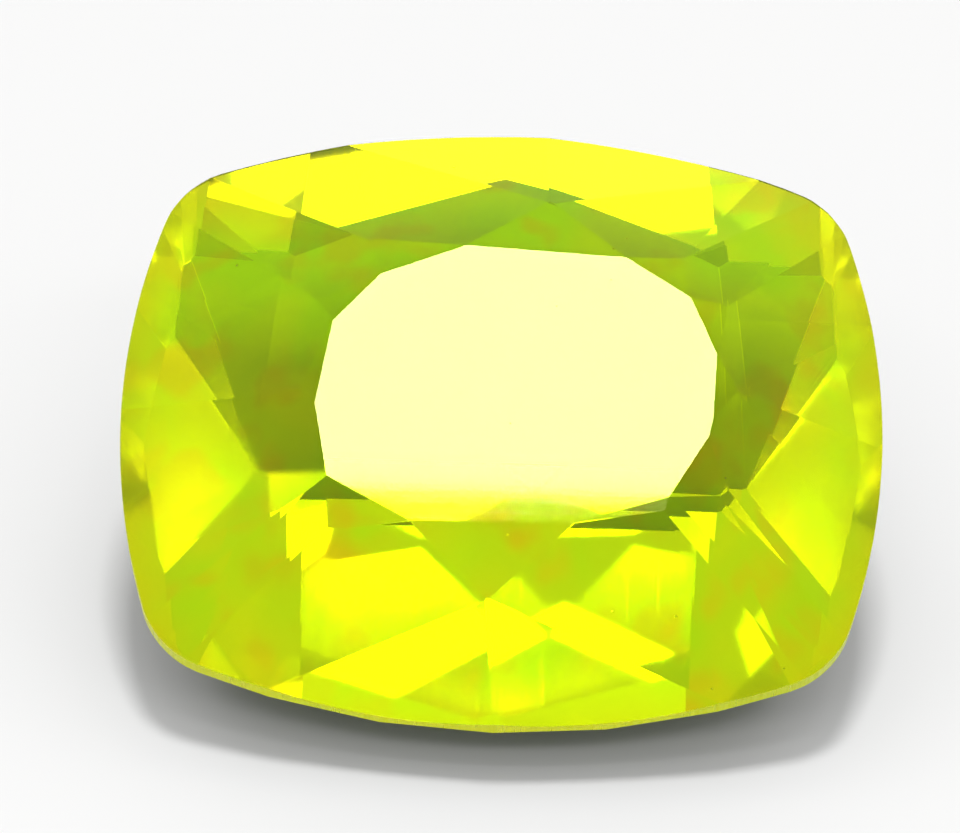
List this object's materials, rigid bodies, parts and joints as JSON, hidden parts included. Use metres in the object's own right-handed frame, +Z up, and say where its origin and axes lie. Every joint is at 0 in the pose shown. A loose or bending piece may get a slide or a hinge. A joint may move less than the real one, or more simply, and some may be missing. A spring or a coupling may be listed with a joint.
{
  "type": "faceted fire opal",
  "caption": "Cushion-cut faceted opal, clear lime yellow, with a wide flat table and a deep pavilion, lying on one facet.",
  "frame": {"origin": "middle of the stone's bounding box on the surface that it lies on", "axes": "+X along the stone's width, +Y towards the raised back of its girdle, +Z up from the surface it lies on"},
  "size_m": [0.02, 0.0148, 0.0108],
  "materials": {
    "opal": "polished"
  },
  "bodies": {
    "root": {"opal": "opal"}
  },
  "joints": []
}
